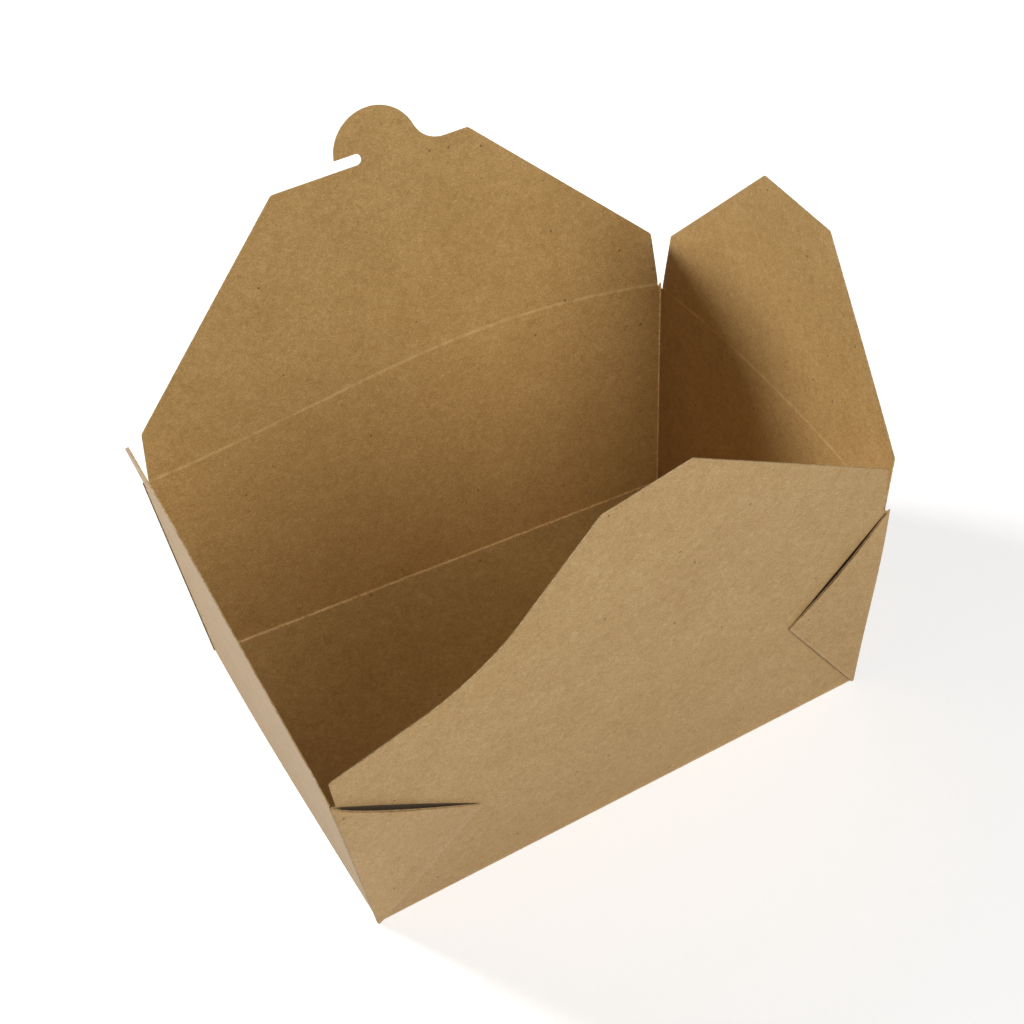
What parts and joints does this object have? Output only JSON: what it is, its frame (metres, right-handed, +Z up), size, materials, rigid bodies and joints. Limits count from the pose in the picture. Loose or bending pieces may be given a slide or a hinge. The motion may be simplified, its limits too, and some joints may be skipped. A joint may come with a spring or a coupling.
{
  "type": "takeaway food box",
  "caption": "Open folded kraft-board takeaway box: flared walls with web corners and hinged closing flaps, the back flap with a hook tab.",
  "frame": {"origin": "middle of the underside of the base", "axes": "+X to the right along the long walls, +Y to the back wall, +Z up"},
  "size_m": [0.2397, 0.1973, 0.1944],
  "materials": {
    "kraft_board": "uncoated brown kraft board, matt, with fine fibres"
  },
  "bodies": {
    "tray": {"tray": "kraft_board"},
    "back_flap": {"back_flap": "kraft_board"},
    "front_flap": {"front_flap": "kraft_board"},
    "right_flap": {"right_flap": "kraft_board"},
    "left_flap": {"left_flap": "kraft_board"}
  },
  "joints": [
    {"name": "back_fold", "type": "hinge", "parent": "tray", "child": "back_flap", "pos_m": [0.00375, 0.0823, 0.0903], "axis": [0.9992, -0.0408, 0], "range_deg": [-70, 102]},
    {"name": "front_fold", "type": "hinge", "parent": "tray", "child": "front_flap", "pos_m": [-0.00275, -0.08135, 0.0903], "axis": [-0.9988, -0.0481, 0], "range_deg": [-70, 100]},
    {"name": "right_fold", "type": "hinge", "parent": "tray", "child": "right_flap", "pos_m": [0.10785, 0.00085, 0.0891], "axis": [-0.0473, -0.9989, 0], "range_deg": [-70, 103]},
    {"name": "left_fold", "type": "hinge", "parent": "tray", "child": "left_flap", "pos_m": [-0.10685, 0.0001, 0.0891], "axis": [0.0329, 0.9995, 0], "range_deg": [-70, 104]}
  ]
}
